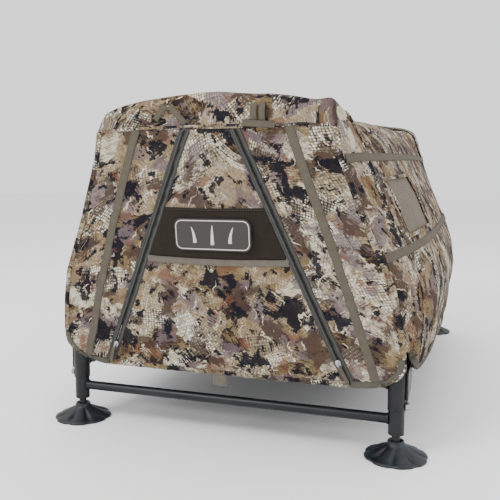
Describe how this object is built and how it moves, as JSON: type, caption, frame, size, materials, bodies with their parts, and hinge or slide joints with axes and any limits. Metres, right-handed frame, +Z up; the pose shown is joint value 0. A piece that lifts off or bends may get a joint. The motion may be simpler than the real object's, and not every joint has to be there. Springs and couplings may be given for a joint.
{
  "type": "dog field blind",
  "caption": "Camouflaged dog blind: a raised tube-framed deck on adjustable legs with mud feet, under a folding fabric cabin with a zipped door at each end.",
  "frame": {"origin": "on the ground under the middle of the stand", "axes": "+Z up, -Y towards the front door with the badge, +X to the right of a viewer who faces that door"},
  "size_m": [0.702, 1.0952, 0.6152],
  "materials": {
    "camo_cloth": "matte printed polyester",
    "frame_steel": "semi-gloss powder coat",
    "zinc_steel": "zinc plated",
    "foot_rubber": "matte moulded",
    "deck_mesh": "coated open mesh",
    "window_mesh": "open mesh",
    "webbing": "woven webbing",
    "emblem": "moulded badge"
  },
  "bodies": {
    "stand": {"front_rail": "frame_steel", "rear_rail": "frame_steel", "left_rail": "frame_steel", "right_rail": "frame_steel", "mesh_deck": "deck_mesh", "corner_sleeve_front_left": "frame_steel", "hoop_bracket_front_left": "frame_steel", "hoop_pivot_bolt_front_left": "zinc_steel", "corner_sleeve_front_right": "frame_steel", "hoop_bracket_front_right": "frame_steel", "hoop_pivot_bolt_front_right": "zinc_steel", "corner_sleeve_rear_left": "frame_steel", "hoop_bracket_rear_left": "frame_steel", "hoop_pivot_bolt_rear_left": "zinc_steel", "corner_sleeve_rear_right": "frame_steel", "hoop_bracket_rear_right": "frame_steel", "hoop_pivot_bolt_rear_right": "zinc_steel", "left_side_wall": "camo_cloth", "left_window_mesh": "window_mesh", "right_side_wall": "camo_cloth", "right_window_mesh": "window_mesh", "roof": "camo_cloth"},
    "front_leg_frame": {"front_cross_tube": "frame_steel", "leg_tube_front_left": "frame_steel", "leg_tube_front_right": "frame_steel"},
    "front_hoop_frame": {"front_hoop": "frame_steel", "front_panel_left": "camo_cloth", "front_panel_right": "camo_cloth", "front_visor": "camo_cloth", "front_band": "camo_cloth"},
    "front_door_flap": {"front_door": "camo_cloth", "front_door_tab": "webbing", "door_emblem": "emblem"},
    "lock_bolt_front_left": {"lock_bolt_front_left": "zinc_steel"},
    "foot_stud_front_left": {"foot_stud_front_left": "frame_steel"},
    "mud_foot_front_left": {"mud_foot_front_left": "foot_rubber"},
    "front_zip_slider_left": {"front_zip_slider_left": "zinc_steel"},
    "lock_bolt_front_right": {"lock_bolt_front_right": "zinc_steel"},
    "foot_stud_front_right": {"foot_stud_front_right": "frame_steel"},
    "mud_foot_front_right": {"mud_foot_front_right": "foot_rubber"},
    "front_zip_slider_right": {"front_zip_slider_right": "zinc_steel"},
    "rear_leg_frame": {"rear_cross_tube": "frame_steel", "leg_tube_rear_left": "frame_steel", "leg_tube_rear_right": "frame_steel"},
    "rear_hoop_frame": {"rear_hoop": "frame_steel", "rear_panel_left": "camo_cloth", "rear_panel_right": "camo_cloth", "rear_visor": "camo_cloth", "rear_band": "camo_cloth"},
    "rear_door_flap": {"rear_door": "camo_cloth", "rear_door_tab": "webbing"},
    "lock_bolt_rear_left": {"lock_bolt_rear_left": "zinc_steel"},
    "foot_stud_rear_left": {"foot_stud_rear_left": "frame_steel"},
    "mud_foot_rear_left": {"mud_foot_rear_left": "foot_rubber"},
    "rear_zip_slider_left": {"rear_zip_slider_left": "zinc_steel"},
    "lock_bolt_rear_right": {"lock_bolt_rear_right": "zinc_steel"},
    "foot_stud_rear_right": {"foot_stud_rear_right": "frame_steel"},
    "mud_foot_rear_right": {"mud_foot_rear_right": "foot_rubber"},
    "rear_zip_slider_right": {"rear_zip_slider_right": "zinc_steel"}
  },
  "joints": [
    {"name": "front_legs_extend", "type": "slide", "parent": "stand", "child": "front_leg_frame", "axis": [0, 0, -1], "range_m": [0, 0.08]},
    {"name": "front_hoop_fold", "type": "hinge", "parent": "stand", "child": "front_hoop_frame", "pos_m": [0, -0.42, 0.132], "axis": [-1, 0, 0], "range_deg": [0, 97], "deforming": ["front_panel_left", "front_panel_right", "front_visor", "front_band", "left_side_wall", "right_side_wall", "left_window_mesh", "right_window_mesh", "roof"]},
    {"name": "front_door_swing", "type": "hinge", "parent": "front_hoop_frame", "child": "front_door_flap", "pos_m": [0, -0.54178, 0.518], "axis": [-1, 0, 0], "range_deg": [0, 90]},
    {"name": "lock_bolt_turn_front_left", "type": "hinge", "parent": "stand", "child": "lock_bolt_front_left", "pos_m": [-0.286, -0.47, 0.084], "axis": [-1, 0, 0], "continuous": true},
    {"name": "foot_spin_front_left", "type": "hinge", "parent": "front_leg_frame", "child": "foot_stud_front_left", "pos_m": [-0.286, -0.47, 0.02], "axis": [0, 0, 1], "continuous": true},
    {"name": "foot_tilt_front_left", "type": "hinge", "parent": "foot_stud_front_left", "child": "mud_foot_front_left", "pos_m": [-0.286, -0.47, 0.02], "axis": [1, 0, 0], "range_deg": [-12, 12]},
    {"name": "front_zip_left", "type": "slide", "parent": "front_door_flap", "child": "front_zip_slider_left", "axis": [0.3949, -0.1184, 0.911], "range_m": [0, 0.368]},
    {"name": "lock_bolt_turn_front_right", "type": "hinge", "parent": "stand", "child": "lock_bolt_front_right", "pos_m": [0.286, -0.47, 0.084], "axis": [1, 0, 0], "continuous": true},
    {"name": "foot_spin_front_right", "type": "hinge", "parent": "front_leg_frame", "child": "foot_stud_front_right", "pos_m": [0.286, -0.47, 0.02], "axis": [0, 0, 1], "continuous": true},
    {"name": "foot_tilt_front_right", "type": "hinge", "parent": "foot_stud_front_right", "child": "mud_foot_front_right", "pos_m": [0.286, -0.47, 0.02], "axis": [1, 0, 0], "range_deg": [-12, 12]},
    {"name": "front_zip_right", "type": "slide", "parent": "front_door_flap", "child": "front_zip_slider_right", "axis": [-0.3949, -0.1184, 0.911], "range_m": [0, 0.368]},
    {"name": "rear_legs_extend", "type": "slide", "parent": "stand", "child": "rear_leg_frame", "axis": [0, 0, -1], "range_m": [0, 0.08]},
    {"name": "rear_hoop_fold", "type": "hinge", "parent": "stand", "child": "rear_hoop_frame", "pos_m": [0, 0.42, 0.132], "axis": [1, 0, 0], "range_deg": [0, 88.5], "deforming": ["rear_panel_left", "rear_panel_right", "rear_visor", "rear_band"]},
    {"name": "rear_door_swing", "type": "hinge", "parent": "rear_hoop_frame", "child": "rear_door_flap", "pos_m": [0, 0.54176, 0.55475], "axis": [1, 0, 0], "range_deg": [0, 90]},
    {"name": "lock_bolt_turn_rear_left", "type": "hinge", "parent": "stand", "child": "lock_bolt_rear_left", "pos_m": [-0.286, 0.47, 0.084], "axis": [-1, 0, 0], "continuous": true},
    {"name": "foot_spin_rear_left", "type": "hinge", "parent": "rear_leg_frame", "child": "foot_stud_rear_left", "pos_m": [-0.286, 0.47, 0.02], "axis": [0, 0, 1], "continuous": true},
    {"name": "foot_tilt_rear_left", "type": "hinge", "parent": "foot_stud_rear_left", "child": "mud_foot_rear_left", "pos_m": [-0.286, 0.47, 0.02], "axis": [1, 0, 0], "range_deg": [-12, 12]},
    {"name": "rear_zip_left", "type": "slide", "parent": "rear_door_flap", "child": "rear_zip_slider_left", "axis": [0.3672, 0.1101, 0.9236], "range_m": [0, 0.402]},
    {"name": "lock_bolt_turn_rear_right", "type": "hinge", "parent": "stand", "child": "lock_bolt_rear_right", "pos_m": [0.286, 0.47, 0.084], "axis": [1, 0, 0], "continuous": true},
    {"name": "foot_spin_rear_right", "type": "hinge", "parent": "rear_leg_frame", "child": "foot_stud_rear_right", "pos_m": [0.286, 0.47, 0.02], "axis": [0, 0, 1], "continuous": true},
    {"name": "foot_tilt_rear_right", "type": "hinge", "parent": "foot_stud_rear_right", "child": "mud_foot_rear_right", "pos_m": [0.286, 0.47, 0.02], "axis": [1, 0, 0], "range_deg": [-12, 12]},
    {"name": "rear_zip_right", "type": "slide", "parent": "rear_door_flap", "child": "rear_zip_slider_right", "axis": [-0.3672, 0.1101, 0.9236], "range_m": [0, 0.402]}
  ],
  "couplings": [
    {"joint": "rear_hoop_fold", "follows": "front_hoop_fold", "ratio": 0.91}
  ]
}
